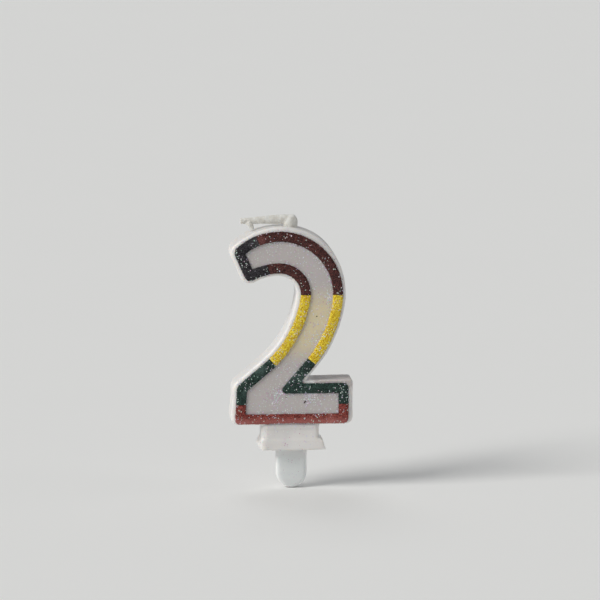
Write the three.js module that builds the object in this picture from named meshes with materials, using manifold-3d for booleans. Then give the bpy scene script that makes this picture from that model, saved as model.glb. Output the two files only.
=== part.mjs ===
// A number birthday candle shaped as a 2. A cast wax digit carries a line of glitter gel round its
// front face, in five colours. A cotton wick runs inside the stroke and lies folded over the top,
// and a plastic pick sits in a slot in the neck, to stand the candle in a cake.
// Millimetres, +Z up, the decorated face towards -Y, the origin at the centre of the neck's underside.
import * as THREE from "three";
import { mergeVertices } from "three/addons/utils/BufferGeometryUtils.js";
import Module from "manifold-3d";

const wasm = await Module();
wasm.setup();

// Driving dimensions: the digit's outline is the outer edge of the glitter line.
const digit = {
  baseLeft: -16,
  baseRight: 16.3,
  baseBottom: 7.7,
  baseTop: 19.1,
  shoulderX: -15.4,
  shoulderZ: 18.5,
  bowlX: -3.4,
  bowlZ: 44.9,
  bowlRadius: 18.1,
  hookAngle: 136,
  leanAngle: 8,
  backRadius: 35.7,
  backAngle: 40.5,
  legRadius: 31,
  legAngle: 48.5,
  eyeX: -3.3,
  eyeZ: 45.1,
  eyeRadius: 6.2,
  underRadius: 16.2,
  underAngle: 124,
};
const cornerRadius = 1.1;
const crotchRadius = 0.7;
const innerCrotchRadius = 1;
const waxDepth = 10;
const waxMargin = 1;
const waxBottom = 7.2;
const waxRound = 0.7;

const glitterWidth = 2.7;
const glitterHeight = 0.7;
const glitterLift = 0.05;
const colourGap = 0.3;
const yellowTop = 44.8;
const greenCut = { leg: 45.7, back: 39.1 }; // degrees below level on the arcs of the leg and the back
const redTop = 13.2;
const blackCut = { top: [-10.3, 62.6], bottom: [-5.9, 50.7] };

const neckWidth = 16.2;
const neckDepth = 9.4;
const neckTop = 9;
const neckRound = 0.9;
const lipHeight = 2.8;
const lipWidth = 19;
const lipDepth = 9.8;

const pickWidth = 8.6;
const pickLength = 11.6;
const pickThickness = 4;
const pickRound = 1;
const headHeight = 11;
const headTopWidth = 7;
const slotClearance = 0.3;

const wickRadius = 0.9;
const wickX = -0.4;
const foldZ = 66;
const foldedLength = 13.6;
const wickClearance = 0.3;
const wickSides = 10;
const wickSteps = 28;

const outlineStep = 0.4; // spacing of the points that an outline is offset from
const arcDivisions = 12;
const straightness = 0.004; // a point nearer than this to its neighbours' chord is dropped
const closeness = 1e-4; // by which an offset point may come nearer than it should
const joinAngle = 0.2; // radians between the points of a round corner

// Outlines in the X-Z plane

const radians = THREE.MathUtils.degToRad;

// The point at an angle on a circle, in degrees from +X towards +Z.
function onCircle(x, z, radius, degrees) {
  return [x + radius * Math.cos(radians(degrees)), z + radius * Math.sin(radians(degrees))];
}

// The centres of the arcs down the digit's back and down the inside of its leg.
function strokeCentres() {
  const d = digit;
  const back = onCircle(d.bowlX, d.bowlZ, d.bowlRadius - d.backRadius, -d.leanAngle);
  const leg = onCircle(d.eyeX, d.eyeZ, d.eyeRadius - d.legRadius, -d.leanAngle);
  return { back, leg };
}

// The digit, clockwise from the tip of its hook: over the top, down the back, round the base and up inside.
function digitPath(bottom) {
  const d = digit;
  const { back, leg } = strokeCentres();
  const [backX, backZ] = back;
  const [legX, legZ] = leg;
  const [backEndX, backEndZ] = onCircle(backX, backZ, d.backRadius, -d.backAngle);
  const crotchX = backEndX - (backEndZ - d.baseTop) * Math.tan(radians(d.backAngle));
  const underZ = d.eyeZ + d.eyeRadius - d.underRadius;
  const path = new THREE.Path();
  const arc = (x, z, radius, from, to) => {
    path.absarc(x, z, radius, radians(from), radians(to), from > to);
  };
  arc(d.bowlX, d.bowlZ, d.bowlRadius, d.hookAngle, -d.leanAngle);
  arc(backX, backZ, d.backRadius, -d.leanAngle, -d.backAngle);
  path.lineTo(crotchX, d.baseTop);
  path.lineTo(d.baseRight, d.baseTop);
  path.lineTo(d.baseRight, bottom);
  path.lineTo(d.baseLeft, bottom);
  path.lineTo(d.shoulderX, d.shoulderZ);
  arc(legX, legZ, d.legRadius, -d.legAngle, -d.leanAngle);
  arc(d.eyeX, d.eyeZ, d.eyeRadius, -d.leanAngle, 90);
  arc(d.eyeX, underZ, d.underRadius, 90, d.underAngle);
  path.closePath();
  return path;
}

// A closed outline with its points no further apart than outlineStep.
function dense(corners) {
  const points = [];
  corners.forEach((corner, i) => {
    const next = corners[(i + 1) % corners.length];
    const length = corner.distanceTo(next);
    if (length < straightness) return;
    const pieces = Math.ceil(length / outlineStep);
    for (let k = 0; k < pieces; k++) {
      points.push(corner.clone().lerp(next, k / pieces));
    }
  });
  return points;
}

// A closed path as points, counterclockwise.
function samples(path) {
  const points = dense(path.getPoints(arcDivisions));
  return THREE.ShapeUtils.isClockWise(points) ? points.reverse() : points;
}

function distanceToSegment(point, a, b) {
  const along = b.clone().sub(a);
  const share = point.clone().sub(a).dot(along) / Math.max(along.lengthSq(), Number.EPSILON);
  return point.distanceTo(a.clone().addScaledVector(along, THREE.MathUtils.clamp(share, 0, 1)));
}

function distanceToOutline(point, outline) {
  return Math.min(...outline.map((a, i) => distanceToSegment(point, a, outline[(i + 1) % outline.length])));
}

// An outline moved outwards by a distance, or inwards by a negative one. Where its corners open they
// become round, or stay sharp if mitred.
function offset(corners, distance, mitred = false) {
  const outline = dense(corners);
  const moved = [];
  outline.forEach((point, i) => {
    const before = outline[(i + outline.length - 1) % outline.length];
    const after = outline[(i + 1) % outline.length];
    const first = point.clone().sub(before).angle() - Math.PI / 2;
    const last = after.clone().sub(point).angle() - Math.PI / 2;
    const turn = Math.atan2(Math.sin(last - first), Math.cos(last - first));
    const fans = mitred ? 0 : Math.round(Math.abs(turn) / joinAngle);
    const reach = fans ? distance : distance / Math.cos(turn / 2);
    for (let k = 0; k <= fans; k++) {
      const angle = first + turn * (fans ? k / fans : 0.5);
      moved.push(new THREE.Vector2(Math.cos(angle), Math.sin(angle)).multiplyScalar(reach).add(point));
    }
  });
  const least = Math.abs(distance) - closeness;
  return moved.filter((point) => distanceToOutline(point, outline) >= least);
}

// An outline with its outer corners rounded, by a negative radius, or its inner ones, by a positive radius.
function rounded(outline, radius) {
  return offset(offset(outline, radius), -radius);
}

// The outline without the points that lie on a straight run, starting from its furthest corner.
function simplified(outline) {
  const furthest = Math.max(...outline.map((point) => point.length()));
  const start = outline.findIndex((point) => point.length() === furthest);
  const turned = [...outline.slice(start), ...outline.slice(0, start)];
  const kept = [turned[0]];
  let last = 0;
  for (let i = 1; i < turned.length; i++) {
    const next = turned[(i + 1) % turned.length];
    const skipped = turned.slice(last + 1, i + 1);
    if (skipped.some((point) => distanceToSegment(point, turned[last], next) > straightness)) {
      kept.push(turned[i]);
      last = i;
    }
  }
  return kept;
}

function digitOutline(bottom) {
  return rounded(rounded(samples(digitPath(bottom)), -cornerRadius), crotchRadius);
}

function glitterInnerOutline() {
  return rounded(offset(samples(digitPath(digit.baseBottom)), -glitterWidth, true), innerCrotchRadius);
}

function waxOutline() {
  const outline = offset(digitOutline(waxBottom + waxMargin), waxMargin);
  return simplified(outline);
}

// Solids

function solidOf(geometry) {
  const bare = geometry.index ? geometry.toNonIndexed() : geometry;
  bare.deleteAttribute("normal");
  bare.deleteAttribute("uv");
  const merged = mergeVertices(bare, 1e-4);
  return new wasm.Manifold(
    new wasm.Mesh({
      numProp: 3,
      vertProperties: merged.attributes.position.array,
      triVerts: new Uint32Array(merged.index.array),
    }),
  );
}

function geometryOf(solid) {
  const mesh = solid.getMesh();
  const geometry = new THREE.BufferGeometry();
  geometry.setAttribute("position", new THREE.BufferAttribute(mesh.vertProperties, 3));
  geometry.setIndex(new THREE.BufferAttribute(mesh.triVerts, 1));
  geometry.computeVertexNormals();
  return geometry;
}

// An outline in X-Z made solid from y = back to y = front, front being the lower, with rounded rims.
function slab(outline, front, back, round = 0) {
  const geometry = new THREE.ExtrudeGeometry(new THREE.Shape(outline), {
    depth: back - front - 2 * round,
    bevelEnabled: round > 0,
    bevelThickness: round,
    bevelSize: round,
    bevelOffset: -round,
    bevelSegments: 3,
  });
  return geometry.rotateX(Math.PI / 2).translate(0, back - round, 0);
}

function rectangle(left, right, bottom, top) {
  return [
    new THREE.Vector2(left, bottom),
    new THREE.Vector2(right, bottom),
    new THREE.Vector2(right, top),
    new THREE.Vector2(left, top),
  ];
}

// The neck under the base, with rounded upright edges and a lip flared towards its underside.
function neckSolid() {
  const halfWidth = neckWidth / 2;
  const halfDepth = neckDepth / 2;
  const section = rectangle(-halfWidth, halfWidth, -halfDepth, halfDepth);
  const block = new THREE.Path(section);
  block.closePath();
  const outline = new THREE.Shape(simplified(rounded(samples(block), -neckRound)));
  const column = new THREE.ExtrudeGeometry(outline, { depth: neckTop, bevelEnabled: false });
  const lip = [
    new THREE.Vector2(-lipWidth / 2, 0),
    new THREE.Vector2(lipWidth / 2, 0),
    new THREE.Vector2(halfWidth, lipHeight),
    new THREE.Vector2(-halfWidth, lipHeight),
  ];
  return solidOf(column).add(solidOf(slab(lip, -lipDepth / 2, lipDepth / 2)));
}

// The pick's outline: a tongue with a round end below the neck and a tapered head above it.
function pickOutline() {
  const half = pickWidth / 2;
  const path = new THREE.Path();
  path.moveTo(half, 0);
  path.lineTo(headTopWidth / 2, headHeight);
  path.lineTo(-headTopWidth / 2, headHeight);
  path.lineTo(-half, 0);
  path.absarc(0, half - pickLength, half, Math.PI, 2 * Math.PI, false);
  path.closePath();
  return samples(path);
}

function pickGeometry() {
  return slab(simplified(pickOutline()), -pickThickness / 2, pickThickness / 2, pickRound);
}

function slotSolid() {
  const halfSlot = pickThickness / 2 + slotClearance;
  return solidOf(slab(simplified(offset(pickOutline(), slotClearance)), -halfSlot, halfSlot));
}

// The wick's way through the wax: down from the top, round the bowl and along the leg.
function wickCurve(top) {
  const d = digit;
  const bowlMid = (d.bowlRadius + d.eyeRadius) / 2;
  const legMid = (d.backRadius + d.legRadius) / 2;
  const [legX, legZ] = onCircle(d.bowlX, d.bowlZ, bowlMid - legMid, -d.leanAngle);
  const onBowl = (degrees) => onCircle(d.bowlX, d.bowlZ, bowlMid, degrees);
  const onLeg = (degrees) => onCircle(legX, legZ, legMid, -degrees);
  const route = [[wickX, top], [wickX, d.bowlZ + d.bowlRadius - 2]];
  route.push(onBowl(60), onBowl(32), onBowl(4), onLeg(18), onLeg(30), onLeg(42));
  return new THREE.CatmullRomCurve3(
    route.map(([x, z]) => new THREE.Vector3(x, 0, z)),
    false,
    "centripetal",
  );
}

function tube(curve, radius, steps) {
  const ring = new THREE.Path().absarc(0, 0, radius, 0, 2 * Math.PI, false);
  const section = ring.getSpacedPoints(wickSides).slice(0, wickSides);
  return new THREE.ExtrudeGeometry(new THREE.Shape(section), { steps, extrudePath: curve });
}

function wickCoreGeometry() {
  return tube(wickCurve(foldZ - wickRadius - wickClearance), wickRadius, wickSteps);
}

// The folded end: a rod along -X with a ball end that is centred on the fold.
function wickTipGeometry() {
  const profile = new THREE.Path();
  profile.absarc(0, 0, wickRadius, -Math.PI / 2, 0, false);
  profile.lineTo(wickRadius, foldedLength);
  profile.lineTo(0, foldedLength);
  const rod = new THREE.LatheGeometry(profile.getPoints(3), wickSides);
  return geometryOf(solidOf(rod.rotateZ(Math.PI / 2)));
}

function waxGeometry() {
  const body = solidOf(slab(waxOutline(), -waxDepth / 2, waxDepth / 2, waxRound));
  const channel = tube(wickCurve(foldZ), wickRadius + wickClearance, wickSteps);
  return geometryOf(body.add(neckSolid()).subtract(slotSolid()).subtract(solidOf(channel)));
}

// Glitter line

// The part of the X-Z plane between two heights, wide enough for the whole digit.
function band(bottom, top) {
  return rectangle(-30, 30, bottom + colourGap / 2, top - colourGap / 2);
}

// The part of the plane between a height and the line where yellow meets green, which crosses both
// sides of the stroke square to their arcs. Side is 1 above that line and -1 below it.
function strokeSide(height, side) {
  const d = digit;
  const { back, leg } = strokeCentres();
  const gapAngle = THREE.MathUtils.radToDeg(colourGap / 2 / d.legRadius) * side;
  const onLeg = (reach) => onCircle(...leg, d.legRadius + reach, gapAngle - greenCut.leg);
  const onBack = (reach) => onCircle(...back, d.backRadius + reach, gapAngle - greenCut.back);
  const past = glitterWidth / 2;
  const line = [onLeg(-past), onLeg(glitterWidth + past), onBack(-glitterWidth - past), onBack(past)];
  const level = height - (side * colourGap) / 2;
  const outline = [[-30, line[0][1]], ...line, [30, line[3][1]], [30, level], [-30, level]];
  return outline.map(([x, z]) => new THREE.Vector2(x, z));
}

// The part of the X-Z plane on one side of the slanted cut across the hook.
function hookSide(side) {
  const shift = (side * colourGap) / 2;
  const [topX, topZ] = blackCut.top;
  const [bottomX, bottomZ] = blackCut.bottom;
  const lean = (topX - bottomX) / (topZ - bottomZ);
  const cutAt = (z) => bottomX + shift + (z - bottomZ) * lean;
  const outline = [
    new THREE.Vector2(side * 30, yellowTop),
    new THREE.Vector2(cutAt(yellowTop), yellowTop),
    new THREE.Vector2(cutAt(80), 80),
    new THREE.Vector2(side * 30, 80),
  ];
  return side < 0 ? outline.reverse() : outline;
}

// Each length of the line, from the ring's overlap with its colour's part of the plane.
function glitterPieces() {
  const outer = digitOutline(digit.baseBottom);
  const front = -waxDepth / 2 - glitterLift - glitterHeight;
  const back = -waxDepth / 2 - glitterLift;
  const whole = solidOf(slab(simplified(outer), front, back));
  const hole = solidOf(slab(simplified(glitterInnerOutline()), front - 1, back + 1));
  const ring = whole.subtract(hole);
  const within = (region) => solidOf(slab(region, front - 1, back + 1));
  const parts = (solid) => {
    const centreX = (piece) => piece.boundingBox().min[0] + piece.boundingBox().max[0];
    return solid.decompose().sort((a, b) => centreX(a) - centreX(b));
  };
  const upper = ring.intersect(within(band(yellowTop, 80)));
  const [black] = parts(upper.intersect(within(hookSide(-1))));
  const [maroonInner, maroonOuter] = parts(upper.intersect(within(hookSide(1))));
  const [yellowInner, yellowOuter] = parts(ring.intersect(within(strokeSide(yellowTop, 1))));
  const [greenLeft, greenRight] = parts(ring.intersect(within(strokeSide(redTop, -1))));
  const [red] = parts(ring.intersect(within(band(0, redTop))));
  return { black, maroonInner, maroonOuter, yellowInner, yellowOuter, greenLeft, greenRight, red };
}

// Assembly

const group = new THREE.Group();

function place(name, geometry, colour, roughness, metalness = 0) {
  const material = new THREE.MeshStandardMaterial({ color: colour, roughness, metalness });
  const mesh = new THREE.Mesh(geometry, material);
  mesh.name = name;
  group.add(mesh);
  return mesh;
}

const glitter = glitterPieces();
place("wax_body", waxGeometry(), 0xded6cf, 0.45);
place("glitter_black_hook", geometryOf(glitter.black), 0x28232a, 0.4, 0.3);
place("glitter_maroon_outer", geometryOf(glitter.maroonOuter), 0x4b2828, 0.4, 0.3);
place("glitter_maroon_inner", geometryOf(glitter.maroonInner), 0x4b2828, 0.4, 0.3);
place("glitter_yellow_outer", geometryOf(glitter.yellowOuter), 0xdcb914, 0.4, 0.3);
place("glitter_yellow_inner", geometryOf(glitter.yellowInner), 0xdcb914, 0.4, 0.3);
place("glitter_green_right", geometryOf(glitter.greenRight), 0x233832, 0.4, 0.3);
place("glitter_green_left", geometryOf(glitter.greenLeft), 0x233832, 0.4, 0.3);
place("glitter_red_base", geometryOf(glitter.red), 0x7d2828, 0.4, 0.3);
place("wick_core", wickCoreGeometry(), 0xf0ece4, 0.8);
place("wick_tip", wickTipGeometry(), 0xf0ece4, 0.8).position.set(wickX, 0, foldZ);
place("pick", pickGeometry(), 0xdfe3e0, 0.35);

export default group;
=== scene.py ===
import math

import bmesh
import bpy
import numpy as np
from mathutils import Matrix, Vector, noise
from mathutils.bvhtree import BVHTree
from mathutils.kdtree import KDTree


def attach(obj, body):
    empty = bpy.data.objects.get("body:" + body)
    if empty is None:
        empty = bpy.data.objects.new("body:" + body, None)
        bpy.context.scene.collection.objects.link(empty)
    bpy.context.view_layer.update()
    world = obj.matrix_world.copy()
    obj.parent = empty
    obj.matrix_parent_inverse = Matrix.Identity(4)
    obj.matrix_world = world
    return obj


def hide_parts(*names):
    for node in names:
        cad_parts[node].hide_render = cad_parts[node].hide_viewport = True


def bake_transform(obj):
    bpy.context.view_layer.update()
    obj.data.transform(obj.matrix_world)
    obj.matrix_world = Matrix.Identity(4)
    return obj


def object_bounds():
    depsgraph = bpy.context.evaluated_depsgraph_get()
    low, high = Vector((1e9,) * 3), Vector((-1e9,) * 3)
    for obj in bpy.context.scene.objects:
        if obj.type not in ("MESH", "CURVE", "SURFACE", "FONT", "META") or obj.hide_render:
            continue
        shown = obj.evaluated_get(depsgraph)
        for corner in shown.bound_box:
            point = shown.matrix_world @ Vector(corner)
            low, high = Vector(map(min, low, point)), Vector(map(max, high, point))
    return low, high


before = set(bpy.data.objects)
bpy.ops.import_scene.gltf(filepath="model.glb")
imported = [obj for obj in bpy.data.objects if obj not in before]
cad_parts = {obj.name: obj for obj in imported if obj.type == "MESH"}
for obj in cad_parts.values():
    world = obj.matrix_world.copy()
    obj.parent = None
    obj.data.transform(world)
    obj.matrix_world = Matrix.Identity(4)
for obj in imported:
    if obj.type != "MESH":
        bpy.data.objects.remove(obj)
cadLow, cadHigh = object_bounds()
mm = 0.001
scene = bpy.context.scene

# Camera, square on to the candle from slightly left and above

cameraView = {
    "azimuth": -4.5,  # degrees round the candle, 0 looks straight at its glittered face
    "elevation": 8.4,
    "lens": 250.0,
    "across": 171.4,  # mm that the view spans at the candle
    "aim": (2.5, -5.0, 43.4),  # mm, the middle of the view
}


def makeCamera(view):
    turn, lift = math.radians(view["azimuth"]), math.radians(view["elevation"])
    back = Vector((math.sin(turn) * math.cos(lift), -math.cos(turn) * math.cos(lift), math.sin(lift)))
    data = bpy.data.cameras.new("candleCamera")
    data.lens = view["lens"]
    data.clip_end = 30
    camera = bpy.data.objects.new("candleCamera", data)
    distance = view["across"] * mm * view["lens"] / data.sensor_width
    camera.location = Vector(view["aim"]) * mm + back * distance
    camera.rotation_mode = "QUATERNION"
    camera.rotation_quaternion = (-back).to_track_quat("-Z", "Y")
    scene.collection.objects.link(camera)
    scene.camera = camera


makeCamera(cameraView)
print("camera placed")

# Node trees: a socket that can be used in sums, and one method that adds any node


class Socket:
    def __init__(self, graph, socket):
        self.graph = graph
        self.socket = socket

    def maths(self, operation, first, second):
        return self.graph.node("ShaderNodeMath", {"operation": operation}, {0: first, 1: second})

    def __add__(self, other):
        return self.maths("ADD", self, other)

    def __radd__(self, other):
        return self.maths("ADD", other, self)

    def __sub__(self, other):
        return self.maths("SUBTRACT", self, other)

    def __rsub__(self, other):
        return self.maths("SUBTRACT", other, self)

    def __mul__(self, other):
        return self.maths("MULTIPLY", self, other)

    def __rmul__(self, other):
        return self.maths("MULTIPLY", other, self)

    def __truediv__(self, other):
        return self.maths("DIVIDE", self, other)

    def __gt__(self, other):
        return self.maths("GREATER_THAN", self, other)

    def output(self, name):
        return Socket(self.graph, pickSocket(self.socket.node.outputs, name))


def pickSocket(sockets, key):
    if isinstance(key, int):
        return sockets[key]
    for socket in sockets:
        if socket.identifier == key:
            return socket
    return next(socket for socket in sockets if socket.name == key and socket.enabled)


class Graph:
    def __init__(self, tree):
        self.tree = tree

    def node(self, kind, settings=None, inputs=None):
        made = self.tree.nodes.new(kind)
        for name, value in (settings or {}).items():
            if name == "stops":
                setStops(made.color_ramp, value)
            else:
                setattr(made, name, value)
        for name, value in (inputs or {}).items():
            socket = pickSocket(made.inputs, name)
            if isinstance(value, Socket):
                self.tree.links.new(value.socket, socket)
            else:
                socket.default_value = value
        shown = [socket for socket in made.outputs if socket.enabled]
        return Socket(self, shown[0]) if shown else made

    def place(self):  # Object coordinates, in metres
        return self.node("ShaderNodeTexCoord").output("Object")

    def split(self, vector):
        parts = self.node("ShaderNodeSeparateXYZ", {}, {"Vector": vector})
        return parts.output("X"), parts.output("Y"), parts.output("Z")

    def attribute(self, name):
        return self.node("ShaderNodeAttribute", {"attribute_name": name}).output("Fac")

    def mix(self, factor, first, second):
        inputs = {"Factor_Float": factor, "A_Color": shade(first), "B_Color": shade(second)}
        return self.node("ShaderNodeMix", {"data_type": "RGBA"}, inputs).output("Result_Color")

    def ramp(self, value, stops):
        return self.node("ShaderNodeValToRGB", {"stops": stops}, {"Fac": value})

    def smooth(self, value, low, high):
        inputs = {"Value": value, "From Min": low, "From Max": high}
        return self.node("ShaderNodeMapRange", {"interpolation_type": "SMOOTHSTEP"}, inputs)

    def noise(self, place, perMm, detail=2.0, roughness=0.5):
        inputs = {"Vector": place, "Scale": perMm / mm, "Detail": detail, "Roughness": roughness}
        return self.node("ShaderNodeTexNoise", {}, inputs)

    def cells(self, place, perMm):  # three random numbers for each small cell
        made = self.node("ShaderNodeTexVoronoi", {}, {"Vector": place, "Scale": perMm / mm})
        return self.split(made.output("Color"))

    def bump(self, height, distanceMm, strength, normal=None):
        inputs = {"Height": height, "Distance": distanceMm * mm, "Strength": strength}
        if normal is not None:
            inputs["Normal"] = normal
        return self.node("ShaderNodeBump", {}, inputs)


def setStops(ramp, stops):
    while len(ramp.elements) > 1:
        ramp.elements.remove(ramp.elements[-1])
    ramp.elements[0].position = stops[0][0]
    ramp.elements[0].color = shade(stops[0][1])
    for position, colour in stops[1:]:
        ramp.elements.new(position).color = shade(colour)


def shade(colour):  # gives a plain colour its alpha, and leaves a link as it is
    return (*colour, 1.0) if isinstance(colour, tuple) else colour


def newMaterial(name, build, **constants):
    material = bpy.data.materials.new(name)
    material.use_nodes = True
    graph = Graph(material.node_tree)
    shader = next(n for n in material.node_tree.nodes if n.type == "BSDF_PRINCIPLED")
    for socketName, value in constants.items():
        shader.inputs[socketName.replace("_", " ")].default_value = value
    for socketName, value in build(graph).items():
        if isinstance(value, Socket):
            material.node_tree.links.new(value.socket, shader.inputs[socketName])
        else:
            shader.inputs[socketName].default_value = value
    return material


# Finishes

waxFinish = {
    "white": (0.81, 0.79, 0.77),
    "cloudy": (0.75, 0.73, 0.71),
    "face": (0.545, 0.505, 0.49),  # the digit's face, dusted with fine glitter, and painted shade on the base's top ledge
    "warm": (0.73, 0.635, 0.43),  # painted yellow light bounced from the glitter, between the two yellow lines
    "dust": [  # pink, lilac, green and white specks
        (0.0, (0.70, 0.42, 0.58)),
        (0.4, (0.52, 0.48, 0.66)),
        (0.6, (0.56, 0.70, 0.60)),
        (1.0, (0.80, 0.82, 0.76)),
    ],
    "dustPerMm": 3.4,
    "dustShare": 0.16,
    "dustStrength": 0.42,
    "dustOnWalls": 0.15,  # share of its strength that it keeps away from the face
    "yellowBounceStarts": (24.0, 32.0),  # mm up the candle, where the painted yellow light fades in
    "warmEnds": (40.0, 49.0),  # and out again
    "roughness": 0.42,
    "scatter": 0.55,
    "scatterReach": 1.6,  # mm
}


def waxNodes(graph):
    finish = waxFinish
    place = graph.place()
    height = graph.split(place)[2]
    clouds = graph.noise(place, 0.12, 3.0)
    grain = graph.noise(place, 5.0, 3.0, 0.6)
    milky = graph.mix(graph.smooth(clouds, 0.35, 0.65), finish["cloudy"], finish["white"])
    onFace = graph.attribute("onFace")
    # darker on the dusted face, and painted shade on the base's top ledge
    dustedAndShaded = graph.mix(onFace * (0.9 + clouds * 0.2), milky, finish["face"])
    fadeIn = graph.smooth(height, *[edge * mm for edge in finish["yellowBounceStarts"]])
    fadeOut = 1 - graph.smooth(height, *[edge * mm for edge in finish["warmEnds"]])
    # painted yellow light from the glitter lines, on the face between them
    colour = graph.mix(fadeIn * fadeOut * onFace, dustedAndShaded, finish["warm"])
    grit = graph.cells(place, finish["dustPerMm"])
    reach = finish["dustOnWalls"] + onFace * (1 - finish["dustOnWalls"])
    isDust = (grit[0] > 1 - finish["dustShare"]) * finish["dustStrength"] * reach
    colour = graph.mix(isDust, colour, graph.ramp(grit[1], finish["dust"]))
    roughness = finish["roughness"] + (grain - 0.5) * 0.25
    pores = graph.noise(place, 1.3, 4.0, 0.6) * 0.7 + grain * 0.3
    return {"Base Color": colour, "Roughness": roughness, "Normal": graph.bump(pores, 0.08, 0.6)}


def makeWaxMaterial():
    return newMaterial(
        "satinWax",
        waxNodes,
        Subsurface_Weight=waxFinish["scatter"],
        Subsurface_Scale=waxFinish["scatterReach"] * mm,
        Subsurface_Radius=(1.0, 0.85, 0.7),
        Specular_IOR_Level=0.45,
        Coat_Weight=0.12,
        Coat_Roughness=0.3,
    )


gelColours = {
    "black": {
        "deep": (0.003, 0.002, 0.004),  # the ground
        "lit": (0.055, 0.050, 0.057),  # its lighter grains
        "thin": (0.20, 0.19, 0.20),  # where the gel lies thin
        "pearly": 0.10,  # share of its flakes that are pearly
    },
    "maroon": {
        "deep": (0.018, 0.004, 0.004),
        "lit": (0.15, 0.046, 0.040),
        "thin": (0.32, 0.12, 0.11),
        "pearly": 0.065,
    },
    "yellow": {
        "deep": (0.60, 0.34, 0.002),
        "lit": (1.0, 0.86, 0.08),
        "thin": (0.94, 0.76, 0.26),
        "pearly": 0.14,
    },
    "green": {
        "deep": (0.003, 0.010, 0.008),
        "lit": (0.036, 0.080, 0.064),
        "thin": (0.12, 0.19, 0.17),
        "pearly": 0.09,
    },
    "red": {
        "deep": (0.07, 0.004, 0.004),
        "lit": (0.40, 0.09, 0.07),
        # its thin colour is also painted haze along its lower edge
        "thin": (0.56, 0.20, 0.18),
        "pearly": 0.10,
    },
}
paintedHazeBelow = {"red": (9.9, 8.0)}  # heights in mm between which a colour is painted paler towards its lower edge, a painted reflection of haze
glints = [  # the colours that a pearly flake takes: its own pale pearly tint, with its sparkle painted in as a glint
    (0.0, (0.50, 0.80, 0.66)),
    (0.4, (0.78, 0.90, 0.82)),
    (0.58, (0.84, 0.60, 0.74)),
    (0.74, (0.64, 0.64, 0.86)),
    (1.0, (0.92, 0.92, 0.87)),
]


def thinGelAndHaze(graph, place, name):  # how thin the gel lies, from 0 to 1, with painted haze towards a lower edge
    patches = graph.smooth(graph.noise(place, 0.16, 2.0), 0.5, 0.78) * 0.45
    if name not in paintedHazeBelow:
        return patches
    high, low = paintedHazeBelow[name]
    # painted haze of a reflection, paler towards the lower edge
    return patches + graph.smooth(graph.split(place)[2], high * mm, low * mm) * 0.55


def makeGelMaterial(name):
    colours = gelColours[name]

    def gelNodes(graph):
        place = graph.place()
        grains = graph.cells(place, 5.0)
        clouds = graph.noise(place, 0.9, 3.0)
        lit = graph.smooth(grains[0] * 0.8 + clouds * 0.5, 0.35, 1.05)
        gel = graph.mix(lit, colours["deep"], colours["lit"])
        return {
            "Base Color": graph.mix(thinGelAndHaze(graph, place, name), gel, colours["thin"]),
            "Roughness": 0.35 + grains[2] * 0.3,
            "Normal": graph.bump(clouds, 0.15, 0.5, graph.bump(grains[0], 0.1, 0.6)),
        }

    return newMaterial("gel_" + name, gelNodes, Specular_IOR_Level=0.3)


def makeFlakeMaterial(name, own, foil=0.7):  # foil is how metallic a coloured flake is
    def flakeNodes(graph):
        place = graph.place()
        tint = graph.attribute("flakeTint")
        drifts = graph.smooth(graph.noise(place, 0.3, 2.0), 0.4, 0.68)
        pearly = own["pearly"] * (0.35 + drifts * 1.5)
        isPearly = tint > 1 - pearly
        # pale pearly colours with their sparkle painted in, not metallic
        pearlGlint = graph.ramp((tint - (1 - pearly)) / pearly, glints)
        plain = graph.mix(graph.smooth(tint, 0.0, 0.9), own["deep"], own["lit"])
        plain = graph.mix(thinGelAndHaze(graph, place, name), plain, own["thin"])
        return {
            "Base Color": graph.mix(isPearly, plain, pearlGlint),
            "Metallic": foil - isPearly * foil,
            "Roughness": 0.2 + graph.noise(place, 6.0) * 0.2,
        }

    return newMaterial("flake_" + name, flakeNodes)


wickFinish = {"light": (0.78, 0.775, 0.74), "dark": (0.62, 0.60, 0.55)}


def wickNodes(graph):
    place = graph.place()
    clouds = graph.noise(place, 0.8, 4.0, 0.6)
    stretched = graph.node("ShaderNodeMapping", {}, {"Vector": place, "Scale": (0.3, 1.0, 1.0)})
    fibres = graph.noise(stretched, 9.0, 3.0, 0.6)
    colour = graph.mix(graph.smooth(clouds, 0.3, 0.7), wickFinish["dark"], wickFinish["light"])
    relief = graph.bump(fibres * 0.5 + clouds * 0.5, 0.1, 0.7)
    return {"Base Color": colour, "Roughness": 0.4 + fibres * 0.3, "Normal": relief}


def makeWickMaterial():
    return newMaterial(
        "waxedCotton",
        wickNodes,
        Subsurface_Weight=0.3,
        Subsurface_Scale=0.8 * mm,
        Subsurface_Radius=(1.0, 0.9, 0.8),
    )


pickFinish = {
    "body": (0.85, 0.87, 0.865),
    "cloud": (0.79, 0.815, 0.815),
    "rim": (0.96, 0.965, 0.96),  # painted rim light on its edges, and painted light on its top close under the wax, lifting the shadow there
    "paintedTopLightFades": (-4.0, -1.0),  # mm, the heights over which that painted light on the top fades in
}


def pickNodes(graph):
    place = graph.place()
    clouds = graph.noise(place, 0.25, 2.0)
    frost = graph.noise(place, 7.0, 3.0, 0.65)
    colour = graph.mix(graph.smooth(clouds, 0.3, 0.7), pickFinish["cloud"], pickFinish["body"])
    paintedTopLight = graph.smooth(graph.split(place)[2], *[edge * mm for edge in pickFinish["paintedTopLightFades"]])
    # painted light: pale on the edges and on the top under the neck
    paintedLight = 1 - (1 - graph.attribute("rim")) * (1 - paintedTopLight * 0.8)
    colour = graph.mix(paintedLight, colour, pickFinish["rim"])
    return {"Base Color": colour, "Roughness": 0.3 + frost * 0.25, "Normal": graph.bump(frost, 0.03, 0.5)}


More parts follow.
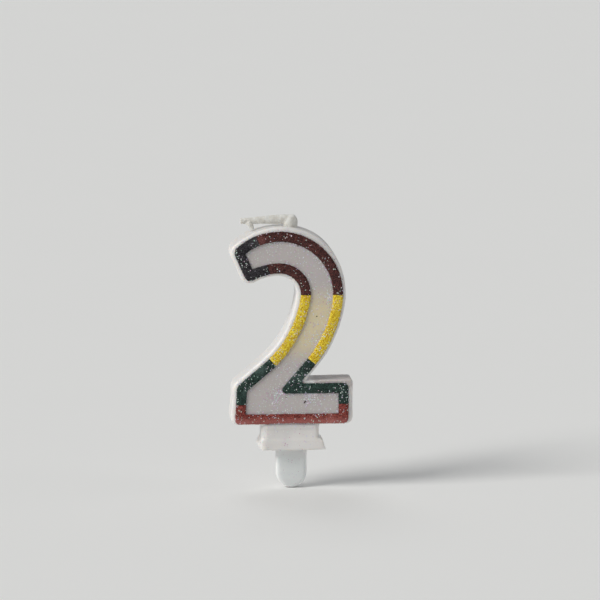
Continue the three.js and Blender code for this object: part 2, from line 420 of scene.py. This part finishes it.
def makePickMaterial():
    return newMaterial(
        "frostedPlastic",
        pickNodes,
        Subsurface_Weight=0.5,
        Subsurface_Scale=2.5 * mm,
        Subsurface_Radius=(0.9, 1.0, 1.0),
        Transmission_Weight=0.15,
        Coat_Weight=0.2,
        Coat_Roughness=0.25,
    )


# Meshes, worked in millimetres and brought to metres at the end


def vectorsOf(items, name):
    flat = np.empty(len(items) * 3, np.float32)
    items.foreach_get(name, flat)
    return flat.reshape(-1, 3).astype(float)


def coordinates(mesh):
    return vectorsOf(mesh.vertices, "co")


def normals(mesh):
    return vectorsOf(mesh.vertex_normals, "vector")


def setCoordinates(mesh, points):
    mesh.vertices.foreach_set("co", points.astype(np.float32).ravel())
    mesh.update()


def storeOnPoints(mesh, name, values):  # as an attribute that a material or a node tree reads
    attribute = mesh.attributes.new(name, "FLOAT", "POINT")
    attribute.data.foreach_set("value", values.astype(np.float32))


def smoothStep(values, low, high):
    share = np.clip((values - low) / (high - low), 0, 1)
    return share * share * (3 - 2 * share)


def noiseAt(points, size, seed=0.0):
    shift = Vector((seed, seed * 1.7, seed * 0.6))
    return np.array([noise.noise(Vector(point) / size + shift) for point in points])


def nearestInPlane(points, targets):  # the nearest target, seen from the front, and how far it is
    tree = KDTree(len(targets))
    for i, target in enumerate(targets):
        tree.insert((target[0], 0, target[2]), i)
    tree.balance()
    found = [tree.find((x, 0, z)) for x, y, z in points]
    return np.array([place[:] for place, i, distance in found]), np.array([f[2] for f in found])


def meshFrom(made, name):
    mesh = bpy.data.meshes.new(name)
    made.to_mesh(mesh)
    made.free()
    return mesh


def newObject(name, mesh):
    made = bpy.data.objects.new(name, mesh)
    scene.collection.objects.link(made)
    return made


def evaluatedMesh(made):
    bpy.context.view_layer.update()
    settled = made.evaluated_get(bpy.context.evaluated_depsgraph_get())
    mesh = bpy.data.meshes.new_from_object(settled)
    made.modifiers.clear()
    return mesh


def castingOf(nodeName):  # a CAD node as merged bmesh, in mm
    made = bmesh.new()
    made.from_mesh(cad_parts[nodeName].data)
    bmesh.ops.remove_doubles(made, verts=made.verts, dist=1e-6)
    bmesh.ops.scale(made, vec=(1 / mm,) * 3, verts=made.verts)
    made.normal_update()
    return made


def remeshed(made, name, voxel, smoothing):  # an even, softened skin over a closed bmesh
    piece = newObject(name, meshFrom(made, name))
    remesh = piece.modifiers.new("skin", "REMESH")
    remesh.mode = "VOXEL"
    remesh.voxel_size = voxel
    calm = piece.modifiers.new("calm", "SMOOTH")
    calm.factor = 0.5
    calm.iterations = smoothing
    piece.data = evaluatedMesh(piece)
    return piece


def soften(mesh, isSoft, times):  # smooths the part of a mesh that isSoft picks out
    made = bmesh.new()
    made.from_mesh(mesh)
    soft = [v for v in made.verts if isSoft(v.co)]
    everyWay = {"use_axis_x": True, "use_axis_y": True, "use_axis_z": True}
    for turn in range(times):
        bmesh.ops.smooth_vert(made, verts=soft, factor=0.5, **everyWay)
    made.to_mesh(mesh)
    made.free()


def finishPiece(piece, material, body, nodes=()):
    mesh = piece.data
    mesh.transform(Matrix.Scale(mm, 4))
    mesh.polygons.foreach_set("use_smooth", [True] * len(mesh.polygons))
    mesh.materials.clear()
    mesh.materials.append(material)
    mesh.update()
    if body:
        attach(piece, body)
    if nodes:
        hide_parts(*nodes)
    print(piece.name, len(mesh.polygons), "faces")


# Cast wax digit

waxForm = {  # lengths in mm
    "voxel": 0.26,
    "smoothing": 4,
    "swell": (7.0, 0.10),  # size and height of the walls' slow unevenness
    "ripple": (1.6, 0.035),
    "faceCalm": 0.25,  # share of it that the flat front and back keep
    "core": 2.8,  # half the depth that the pick's slot and the wick's channel take up
    "leftGrowth": 0.4,  # how far the wax stands out from its casting, on its left
    "bowl": (-3.4, 44.9),  # x and z of the middle of the digit's round top
    "bowlEdge": (17.6, 18.8),  # distance from there at which its outer wall lies
    "shoulderAngle": 55,  # degrees, round the bowl, where it stands out most
    "shoulderSpread": 32,
    "shoulderGrowth": 0.75,
    "baseUpTo": 22,  # everything lower belongs to the base or the neck
    "baseEnd": (14.0, 16.0),  # x where its right end begins
    "baseGrowth": 0.42,
    "baseCorner": (17.3, 20.1),  # x and z of its squarer top corner
    "cornerReach": 0.5,
    "cornerSpread": 1.5,
    "ledgeRim": 0.28,  # how much crisper the front rim of the base's top is
    "footSoftening": 8,
    "collar": (5.6, 6.3, 7.2),  # heights of a slightly prouder band at the top of the neck
    "collarProud": 0.22,
    "castFlare": (1.4, 2.8),  # the width and height of the straight flare that the casting has
    "lipTop": 3.4,
    "lipRagged": 0.5,
    "lipFlare": 1.55,  # how far the lip stands out at its foot, on the right
    "lipBulge": 1.0,  # and part of the way up, on the left, behind its front edge
    "lipBulgeHeight": 1.35,
    "footDrop": 0.3,
    "faceMargin": (0.9, 1.9),  # how far in from the walls the dusty face begins
}


def growth(points, outwards):  # how far each wall stands out from the casting
    form = waxForm
    x, z = points[:, 0], points[:, 2]
    left = form["leftGrowth"] * np.clip(-outwards[:, 0], 0, 1)
    atEnd = smoothStep(outwards[:, 0], 0.3, 0.9) * smoothStep(x, *form["baseEnd"]) * (z < form["baseUpTo"])
    overX, overZ = x - form["bowl"][0], z - form["bowl"][1]
    reach = smoothStep(np.hypot(overX, overZ), *form["bowlEdge"])
    lean = (np.degrees(np.arctan2(overZ, overX)) - form["shoulderAngle"]) / form["shoulderSpread"]
    return left + form["baseGrowth"] * atEnd + form["shoulderGrowth"] * np.exp(-(lean**2)) * reach


def squareCorner(points):  # fills out the top corner at the base's right end
    form = waxForm
    cornerX, cornerZ = form["baseCorner"]
    distance = np.hypot(points[:, 0] - cornerX, points[:, 2] - cornerZ)
    near = np.exp(-((distance / form["cornerSpread"]) ** 2))
    points[:, 0] += near * form["cornerReach"]
    points[:, 2] += near * form["cornerReach"]


def dustAndShadeShare(points, outwards, walls):  # 1 where fine glitter dusts the wax on its face, and where the same darker colour is painted shade on the base's top ledge
    x, y, z = points.T
    inside = smoothStep(nearestInPlane(points, walls)[1], *waxForm["faceMargin"])
    face = inside * smoothStep(-outwards[:, 1], 0.7, 0.95) * smoothStep(z, 7.0, 7.6)
    # painted shade: the base's top ledge darkened as if the digit's leg shaded it
    paintedLedgeShade = smoothStep(x, 5.5, 7.5) * smoothStep(z, 17.6, 18.6) * (z < waxForm["baseUpTo"])
    paintedLedgeShade *= (x + z < 37.8) * (outwards[:, 0] < 0.7)  # not round the corner
    return np.maximum(face, paintedLedgeShade)


def makeWax():
    form = waxForm
    piece = remeshed(castingOf("wax_body"), "waxDigit", form["voxel"], form["smoothing"])

    def isFoot(spot):
        return spot.z < form["lipTop"] + 1 and abs(spot.x) > 5.5

    soften(piece.data, isFoot, form["footSoftening"])
    points, outwards = coordinates(piece.data), normals(piece.data)
    grown = growth(points, outwards)
    points[:, 0] += outwards[:, 0] * grown
    points[:, 2] += outwards[:, 2] * grown
    squareCorner(points)
    slanting = smoothStep(-outwards[:, 1], 0.2, 0.6) * smoothStep(outwards[:, 2], 0.2, 0.6)
    onLedge = slanting * (points[:, 0] > 8) * (points[:, 2] < form["baseUpTo"])
    points += outwards * (onLedge * form["ledgeRim"])[:, None]
    collarFrom, collarFull, collarTop = form["collar"]
    collar = smoothStep(points[:, 2], collarFrom, collarFull) * (points[:, 2] < collarTop)
    points[:, 1] += np.clip(outwards[:, 1], -1, 0) * collar * form["collarProud"]
    calm = 1 - (1 - form["faceCalm"]) * smoothStep(abs(outwards[:, 1]), 0.5, 0.95)
    (swellSize, swell), (rippleSize, ripple) = form["swell"], form["ripple"]
    uneven = noiseAt(points, swellSize) * swell + noiseAt(points, rippleSize, 3.0) * ripple
    points += outwards * (uneven * calm)[:, None]
    points[:, 0] += lipShift(points)
    points[:, 2] -= np.clip(1 - points[:, 2], 0, 1) * form["footDrop"]
    setCoordinates(piece.data, points)
    storeOnPoints(piece.data, "onFace", dustAndShadeShare(points, outwards, outerWalls(piece.data)))
    return piece


def outerWalls(mesh):  # points on the digit's sides, without those of the slot and the wick's channel
    points, outwards = coordinates(mesh), normals(mesh)
    x, y, z = points.T
    return points[(abs(outwards[:, 1]) < 0.3) & (abs(y) > waxForm["core"]) & (z > 6)]


def lipShift(points):  # turns the straight flare at the neck's foot into a torn lip of moulding wax
    form = waxForm
    x, y, z = points.T
    height = np.clip(z / form["lipTop"], 0, 1)
    castWidth, castHeight = form["castFlare"]
    flare = form["lipFlare"] * (1 - height**3)
    bulge = form["lipBulge"] * np.exp(-(((z - form["lipBulgeHeight"]) / 1.1) ** 2))
    bulge *= smoothStep(y, -4.4, -2.6)
    wanted = np.where(x > 0, flare, bulge) - castWidth * np.clip(1 - z / castHeight, 0, 1)
    ragged = noiseAt(points, 1.1, 8.0) + 0.5 * noiseAt(points, 0.45, 5.0)
    torn = wanted + ragged * form["lipRagged"] * np.sqrt(1 - height) * np.where(x > 0, 1, 0.2)
    return np.sign(x) * torn * smoothStep(abs(x), 6.5, 8.2) * (z < form["lipTop"] + 1)


# Glitter line, one length for each colour

glitterLine = {  # lengths in mm
    "voxel": 0.12,
    "smoothing": 3,
    "fullness": 0.86,  # share of the casting's height that the line reaches
    "edgeHeight": 0.28,  # and the part of it that its edges keep
    "halfWidth": 1.35,
    "outerSpread": 0.22,  # how far the outer edge creeps out from its casting
    "innerSpread": 0.05,
    "outerReach": 2.2,  # an edge nearer to the walls than this is the outer one
    "wobble": (3.2, 0.06),  # size and reach of the edges' slow wandering
    "ragged": (0.55, 0.09),  # and of their small steps
    "grain": 0.05,
    "reachNeighbour": 0.6,  # the widest gap to the next colour that is closed
}
lineLengths = [  # CAD node, colour
    ("glitter_black_hook", "black"),
    ("glitter_maroon_outer", "maroon"),
    ("glitter_maroon_inner", "maroon"),
    ("glitter_yellow_outer", "yellow"),
    ("glitter_yellow_inner", "yellow"),
    ("glitter_green_right", "green"),
    ("glitter_green_left", "green"),
    ("glitter_red_base", "red"),
]


def treeOfOthers(nodeName):
    joined = bmesh.new()
    for other, colour in lineLengths:
        if other != nodeName:
            mesh = meshFrom(castingOf(other), "scratch")
            joined.from_mesh(mesh)
            bpy.data.meshes.remove(mesh)
    tree = BVHTree.FromBMesh(joined)
    joined.free()
    return tree


def closeGaps(made, others, reach):  # moves each end half way to the next colour, and returns its faces
    ends, moves = set(), {}
    for face in made.faces:
        if abs(face.normal.y) > 0.3:
            continue
        hit = others.ray_cast(face.calc_center_median() + face.normal * 1e-3, face.normal, reach)
        if hit[0] is not None:
            ends.add(face)
            for vertex in face.verts:
                moves[vertex] = face.normal * (hit[3] / 2)
    for vertex, move in moves.items():
        vertex.co += move
    return ends


def sidePoints(made, ends, spacing=0.05):  # points along the two long edges of the line's front
    points = []
    for edge in made.edges:
        faces = edge.link_faces
        fronts = [face for face in faces if face.normal.y < -0.9]
        walls = [face for face in faces if abs(face.normal.y) < 0.3 and face not in ends]
        if len(fronts) == 1 and len(walls) == 1:
            first, last = edge.verts[0].co, edge.verts[1].co
            count = max(1, int((last - first).length / spacing))
            points += [first.lerp(last, k / count) for k in range(count + 1)]
    return points


def wander(points, seed):  # how far the line strays from its casting
    (wobbleSize, wobble), (stepSize, step) = glitterLine["wobble"], glitterLine["ragged"]
    return noiseAt(points, wobbleSize, seed) * wobble + noiseAt(points, stepSize, seed + 2) * step


def makeGel(nodeName, walls):
    line = glitterLine
    casting = castingOf(nodeName)
    ends = closeGaps(casting, treeOfOthers(nodeName), line["reachNeighbour"])
    edgePoints = sidePoints(casting, ends)
    piece = remeshed(casting, "gel_" + nodeName.removeprefix("glitter_"), line["voxel"], line["smoothing"])
    points = coordinates(piece.data)
    back, front = points[:, 1].max(), points[:, 1].min()
    share = (back - points[:, 1]) / (back - front)
    nearest, distance = nearestInPlane(points, edgePoints)
    across = np.clip(distance / line["halfWidth"], 0, 1)
    outer = nearestInPlane(nearest, walls)[1] < line["outerReach"]
    spread = np.where(outer, line["outerSpread"], line["innerSpread"]) * (1 - across)
    creep = (nearest - points) * (spread / np.maximum(distance, 0.02))[:, None]
    dome = line["edgeHeight"] + (1 - line["edgeHeight"]) * np.sqrt(1 - (1 - across) ** 2)
    grain = noiseAt(points, 0.22, 4.0) * line["grain"] + noiseAt(points, 1.4, 6.0) * line["grain"]
    points[:, 1] = back - share * ((back - front) * dome * line["fullness"] + grain)
    driftX, driftZ = wander(points, 11.0), wander(points, 23.0)
    points[:, 0] += driftX + creep[:, 0]
    points[:, 2] += driftZ + creep[:, 2]
    setCoordinates(piece.data, points)
    return piece, edgePoints


# Flakes, scattered by Geometry Nodes

flakeSizes = {
    "density": 12.0,  # flakes in a square mm of glitter line
    "least": 0.15,  # mm across
    "most": 0.30,
    "bigFrom": 0.88,  # a flake with a tint above this is larger, and most of these are pearly
    "bigger": 0.35,  # by this share
    "tilt": 0.5,  # radians
    "thickness": 0.12,  # share of the width
}


def scatterTree():
    tree = bpy.data.node_groups.new("scatterFlakes", "GeometryNodeTree")
    numbers = ("Density", "Least", "Most", "Big From", "Bigger", "Tilt", "Thickness")
    kinds = {"Geometry": "NodeSocketGeometry", **dict.fromkeys(numbers, "NodeSocketFloat")}
    kinds |= {"Seed": "NodeSocketInt", "Material": "NodeSocketMaterial"}
    for name, kind in kinds.items():
        tree.interface.new_socket(name, in_out="INPUT", socket_type=kind)
    tree.interface.new_socket("Geometry", in_out="OUTPUT", socket_type="NodeSocketGeometry")
    graph = Graph(tree)
    given = graph.node("NodeGroupInput")
    weight = graph.node("GeometryNodeInputNamedAttribute", {"data_type": "FLOAT"}, {"Name": "flakeWeight"})
    density = given.output("Density") * weight
    seed = given.output("Seed")
    points = graph.node(
        "GeometryNodeDistributePointsOnFaces",
        {"distribute_method": "RANDOM"},
        {"Mesh": given.output("Geometry"), "Density": density, "Seed": seed},
    )
    flake = graph.node(
        "GeometryNodeMeshCylinder",
        {"fill_type": "NGON"},
        {"Vertices": 6, "Radius": 0.5, "Depth": given.output("Thickness")},
    )
    lean = given.output("Tilt")
    leans = graph.node("ShaderNodeCombineXYZ", {}, {"X": lean, "Y": lean, "Z": math.pi})
    away = graph.node("ShaderNodeVectorMath", {"operation": "SCALE"}, {0: leans, "Scale": -1.0})
    turn = graph.node(
        "FunctionNodeRandomValue", {"data_type": "FLOAT_VECTOR"}, {"Min": away, "Max": leans, "Seed": seed}
    )
    size = graph.node(
        "FunctionNodeRandomValue",
        {"data_type": "FLOAT"},
        {"Min_001": given.output("Least"), "Max_001": given.output("Most"), "Seed": seed + 1.0},
    )
    tint = graph.node("FunctionNodeRandomValue", {"data_type": "FLOAT"}, {"Seed": seed + 2.0})
    size = size * (1 + (tint > given.output("Big From")) * given.output("Bigger"))
    rotation = graph.node(
        "FunctionNodeRotateRotation",
        {"rotation_space": "LOCAL"},
        {
            "Rotation": points.output("Rotation"),
            "Rotate By": graph.node("FunctionNodeEulerToRotation", {}, {"Euler": turn}),
        },
    )
    flakes = graph.node(
        "GeometryNodeInstanceOnPoints",
        {},
        {"Points": points, "Instance": flake, "Rotation": rotation, "Scale": size},
    )
    tinted = graph.node(
        "GeometryNodeStoreNamedAttribute",
        {"data_type": "FLOAT", "domain": "INSTANCE"},
        {"Geometry": flakes, "Name": "flakeTint", "Value": tint},
    )
    real = graph.node("GeometryNodeRealizeInstances", {}, {"Geometry": tinted})
    dressed = graph.node(
        "GeometryNodeSetMaterial", {}, {"Geometry": real, "Material": given.output("Material")}
    )
    graph.node("NodeGroupOutput", {}, {"Geometry": dressed})
    return tree


def scatter(tree, source, name, weights, material, seed, sizes):
    mesh = source.data.copy()
    storeOnPoints(mesh, "flakeWeight", weights)
    piece = newObject(name, mesh)
    modifier = piece.modifiers.new("scatter", "NODES")
    modifier.node_group = tree
    values = {
        "Density": sizes["density"],
        "Least": sizes["least"],
        "Most": sizes["most"],
        "Big From": sizes["bigFrom"],
        "Bigger": sizes["bigger"],
        "Tilt": sizes["tilt"],
        "Thickness": sizes["thickness"],
        "Seed": seed,
        "Material": material,
    }
    for socket in tree.interface.items_tree:
        if socket.in_out == "INPUT" and socket.name in values:
            modifier[socket.identifier] = values[socket.name]
    piece.data = evaluatedMesh(piece)
    return piece


# Wick: a waxed braid, its root, the folded run and a loose tail, fused into one skin

wickShape = {  # each part by its stations: a place and a radius, in mm
    "root": [
        ((-0.2, 0, 61.8), 1.9),
        ((0.05, 0, 63.6), 2.0),
        ((0.15, 0, 65.2), 2.15),
        ((0.1, 0, 66.1), 2.05),
        ((0.0, 0, 66.9), 1.5),
        ((-0.1, 0, 67.2), 0.8),
    ],
    "run": [
        ((1.7, 0, 65.8), 1.0),
        ((0.4, 0, 65.95), 1.55),
        ((-2.0, 0, 66.1), 1.4),
        ((-5.0, 0, 66.05), 1.24),
        ((-9.0, 0, 65.85), 1.05),
        ((-12.6, 0, 65.7), 0.88),
        ((-14.25, 0, 65.66), 0.82),
    ],
    "tail": [((-11.9, -0.2, 65.5), 1.05), ((-11.3, -0.3, 64.4), 0.85), ((-10.7, -0.3, 63.0), 0.5)],
    "collar": [((-0.3, 0, 62.6), 2.6), ((-0.2, 0, 63.9), 1.9)],
    "flatten": 0.8,
    "voxel": 0.11,
    "smoothing": 3,
    "rootSoftening": 30,
    "rootFrom": (-4.5, 64.2),  # the x and z beyond which the bend over the root is softened
    "axis": ([0, 14], [66.2, 65.7]),  # how far out along the run, and how high its middle is there
    "lumps": 0.06,
    "braidDepth": 0.045,
    "braidPitch": 2.6,
}


def addTube(made, stations, flatten, sides=24, perSpan=6):
    points = [Vector(place) for place, radius in stations]
    radii = [radius for place, radius in stations]
    rings = []
    for i in range(len(points) - 1):
        for k in range(perSpan + (i == len(points) - 2)):
            share = k / perSpan
            centre = points[i].lerp(points[i + 1], share)
            radius = radii[i] + (radii[i + 1] - radii[i]) * share
            along = (points[i + 1] - points[i]).normalized()
            side = Vector((0, 1, 0))
            up = along.cross(side).normalized()
            ring = []
            for n in range(sides):
                angle = 2 * math.pi * n / sides
                spread = side * (math.cos(angle) * radius * flatten)
                ring.append(made.verts.new(centre + spread + up * (math.sin(angle) * radius)))
            rings.append(ring)
    for first, last in zip(rings, rings[1:]):
        for n in range(sides):
            made.faces.new((first[n], first[(n + 1) % sides], last[(n + 1) % sides], last[n]))
    made.faces.new(rings[0][::-1])
    made.faces.new(rings[-1])


def makeWick():
    shape = wickShape
    made = bmesh.new()
    for part in ("root", "run", "tail", "collar"):
        addTube(made, shape[part], shape["flatten"])
    bmesh.ops.recalc_face_normals(made, faces=made.faces)
    piece = remeshed(made, "waxedWick", shape["voxel"], shape["smoothing"])
    rootX, rootZ = shape["rootFrom"]
    soften(piece.data, lambda spot: spot.x > rootX and spot.z > rootZ, shape["rootSoftening"])
    points, outwards = coordinates(piece.data), normals(piece.data)
    middle = np.interp(-points[:, 0], *shape["axis"])
    angle = np.arctan2(points[:, 2] - middle, points[:, 1])
    run = points[:, 0] * 2 * math.pi / shape["braidPitch"]
    braid = np.maximum(np.cos(run + 2 * angle), np.cos(run - 2 * angle + math.pi))
    onRun = smoothStep(-points[:, 0], 1.5, 3.5) * smoothStep(points[:, 2], 64.6, 65.0)
    lumps = noiseAt(points, 1.1, 7.0) * shape["lumps"] + noiseAt(points, 0.35, 1.0) * shape["lumps"] / 3
    points += outwards * (braid * shape["braidDepth"] * onRun + lumps)[:, None]
    setCoordinates(piece.data, points)
    return piece


# Plastic pick

pickForm = {
    "voxel": 0.16,
    "smoothing": 6,
    "regrow": 0.12,  # mm, what the smoothing takes off
    "unevenness": 0.02,
    "shift": 0.3,  # mm to the right, below the neck
}
pickFlakes = {**flakeSizes, "density": 0.8, "least": 0.13, "most": 0.24, "tilt": 0.2}


def makePick():
    piece = remeshed(castingOf("pick"), "cakePick", pickForm["voxel"], pickForm["smoothing"])
    points, outwards = coordinates(piece.data), normals(piece.data)
    points += outwards * (pickForm["regrow"] + noiseAt(points, 3.0) * pickForm["unevenness"])[:, None]
    points[:, 0] += pickForm["shift"] * (1 - smoothStep(points[:, 2], 0, 4))
    # edges where pale rim light is painted
    rim = 1 - smoothStep(abs(outwards[:, 1]), 0.55, 0.9)
    storeOnPoints(piece.data, "rim", rim)
    setCoordinates(piece.data, points)
    return piece


# Loose glitter, settled on the wax

looseFlakes = {
    "density": 9.0,  # flakes in a square mm
    "nearLine": 0.6,  # mm from the line within which most of them lie
    "thin": 0.07,  # share of the density away from the line
    "least": 0.18,
    "most": 0.36,
    "bigFrom": 0.8,
    "bigger": 0.3,
    "tilt": 0.25,
    "thickness": 0.10,
    "own": {
        "deep": (0.60, 0.34, 0.48),
        "lit": (0.70, 0.52, 0.70),
        "thin": (0.66, 0.62, 0.66),
        "pearly": 1.3,  # over 1, because pearly flakes are fewer between the drifts
    },
    "banked": (0.72, 0.69),  # x and z of the way towards the line in which more glitter has slid
    "bankDensity": 1.2,
    "driftDensity": 1.3,
    "drifts": [  # x, z and radius in mm of the places where still more has settled
        (-4.0, 15.3, 2.0),
        (5.5, 15.2, 1.8),
        (7.2, 31.4, 1.6),
        (11.2, 44.0, 1.3),
    ],
}


def settledShare(points, outwards, lineEdges, walls):  # how thickly loose glitter lies, as a weight
    edge, near = nearestInPlane(points, lineEdges)
    towards = (edge - points) / np.maximum(near, 0.02)[:, None]
    bankX, bankZ = looseFlakes["banked"]
    banked = np.clip(towards[:, 0] * bankX + towards[:, 2] * bankZ, 0, 1)
    banked *= smoothStep(nearestInPlane(points, walls)[1], 2.0, 3.0)
    alongLine = np.exp(-((near / looseFlakes["nearLine"]) ** 2))
    settled = looseFlakes["thin"] + (0.2 + banked * looseFlakes["bankDensity"]) * alongLine
    for x, z, radius in looseFlakes["drifts"]:
        away = np.hypot(points[:, 0] - x, points[:, 2] - z) / radius
        settled += looseFlakes["driftDensity"] * np.exp(-(away**2))
    outside = points[:, 1] < -waxForm["core"]  # none inside the slot
    return smoothStep(-outwards[:, 1], 0.3, 0.8) * settled * outside


# Stray dark grains on the face

strayGrains = [  # x and z in mm, length and width in mm, turn in degrees
    (1.9, 59.0, 0.42, 0.34, 20),
    (7.3, 38.6, 0.40, 0.32, 0),
    (3.9, 13.8, 1.0, 0.46, 52),
    (-1.5, 15.3, 0.36, 0.28, 10),
]
grainFinish = {"dark": (0.02, 0.015, 0.015), "brown": (0.09, 0.06, 0.05)}


def makeGrains(wax):
    faces = [list(face.vertices) for face in wax.data.polygons]
    surface = BVHTree.FromPolygons(coordinates(wax.data).tolist(), faces)
    made = bmesh.new()
    for x, z, length, width, turn in strayGrains:
        onWax = surface.ray_cast(Vector((x, -20, z)), Vector((0, 1, 0)))[0]
        turned = Matrix.Rotation(math.radians(-turn), 3, "Y")
        shape = Matrix.LocRotScale(onWax, turned, (length / 2, 0.12, width / 2))
        bmesh.ops.create_icosphere(made, subdivisions=2, radius=1, matrix=shape)
    return newObject("strayGrains", meshFrom(made, "strayGrains"))


def grainNodes(graph):
    grit = graph.noise(graph.place(), 4.0)
    colour = graph.mix(grit, grainFinish["dark"], grainFinish["brown"])
    return {"Base Color": colour, "Roughness": 0.4 + grit * 0.3}


# Put together: wax, glitter line, loose glitter, grains, wick and pick

wax = makeWax()
walls = outerWalls(wax.data)
tree = scatterTree()
lineEdges = []
for number, (nodeName, colour) in enumerate(lineLengths):
    gel, edgePoints = makeGel(nodeName, walls)
    lineEdges += edgePoints
    weights = 0.12 + 0.88 * smoothStep(-normals(gel.data)[:, 1], 0.1, 0.5)
    flakeMaterial = makeFlakeMaterial(colour, gelColours[colour])
    flakesName = gel.name.replace("gel_", "flakes_")
    flakes = scatter(tree, gel, flakesName, weights, flakeMaterial, number * 10, flakeSizes)
    finishPiece(gel, makeGelMaterial(colour), "candle", [nodeName])
    finishPiece(flakes, flakeMaterial, "candle")

weights = settledShare(coordinates(wax.data), normals(wax.data), lineEdges, walls)
looseMaterial = makeFlakeMaterial("loose", looseFlakes["own"], foil=0.0)
loose = scatter(tree, wax, "looseFlakes", weights, looseMaterial, 200, looseFlakes)
finishPiece(loose, looseMaterial, "candle")
finishPiece(makeGrains(wax), newMaterial("darkGrain", grainNodes), "candle")
finishPiece(wax, makeWaxMaterial(), "candle", ["wax_body"])

wick, wickMaterial = makeWick(), makeWickMaterial()
finishPiece(wick, wickMaterial, None, ["wick_tip"])
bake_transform(wick)
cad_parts["wick_core"].data.materials.clear()
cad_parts["wick_core"].data.materials.append(wickMaterial)

pick = makePick()
shown = (coordinates(pick.data)[:, 2] < 0) * 1.0
pickDust = scatter(tree, pick, "pickDust", shown, looseMaterial, 300, pickFlakes)
finishPiece(pickDust, looseMaterial, "pick_stem")
finishPiece(pick, makePickMaterial(), "pick_stem", ["pick"])

# Studio

studio = {
    "floor": (0.88, 0.88, 0.87),
    "floorRadius": 9.0,  # metres
    "sky": (0.95, 0.975, 1.0),
    "skyStrength": 0.25,
}
studioLights = [  # name, direction towards it, strength, softness in degrees, colour
    ("keyLight", (-0.76, -0.36, 0.56), 2.3, 30, (1.0, 0.99, 0.965)),
    ("backLight", (-0.1, 0.6, 0.8), 0.35, 30, (1.0, 1.0, 1.0)),
    ("fillLight", (0.85, -0.1, 0.35), 0.3, 40, (1.0, 1.0, 1.0)),
]


def makeStage():
    made = bmesh.new()
    bmesh.ops.create_circle(made, cap_ends=True, segments=96, radius=studio["floorRadius"])
    bmesh.ops.translate(made, vec=(0, 0, cadLow.z - 0.2 * mm), verts=made.verts)
    mesh = meshFrom(made, "studioFloor")

    def floorNodes(graph):
        grain = graph.noise(graph.place(), 0.02, 2.0)
        return {"Base Color": shade(studio["floor"]), "Roughness": 0.65 + grain * 0.1}

    mesh.materials.append(newMaterial("palePaper", floorNodes, Specular_IOR_Level=0.2))
    newObject("studioFloor", mesh)


def makeLights():
    for name, direction, strength, softness, colour in studioLights:
        data = bpy.data.lights.new(name, "SUN")
        data.energy = strength
        data.angle = math.radians(softness)
        data.color = colour
        light = bpy.data.objects.new(name, data)
        light.rotation_mode = "QUATERNION"
        light.rotation_quaternion = Vector(direction).to_track_quat("Z", "Y")
        scene.collection.objects.link(light)
    world = bpy.data.worlds.new("paleRoom")
    world.use_nodes = True
    background = world.node_tree.nodes["Background"]
    background.inputs["Color"].default_value = shade(studio["sky"])
    background.inputs["Strength"].default_value = studio["skyStrength"]
    scene.world = world


makeStage()
makeLights()
scene.view_settings.view_transform = "Standard"
print("studio ready")
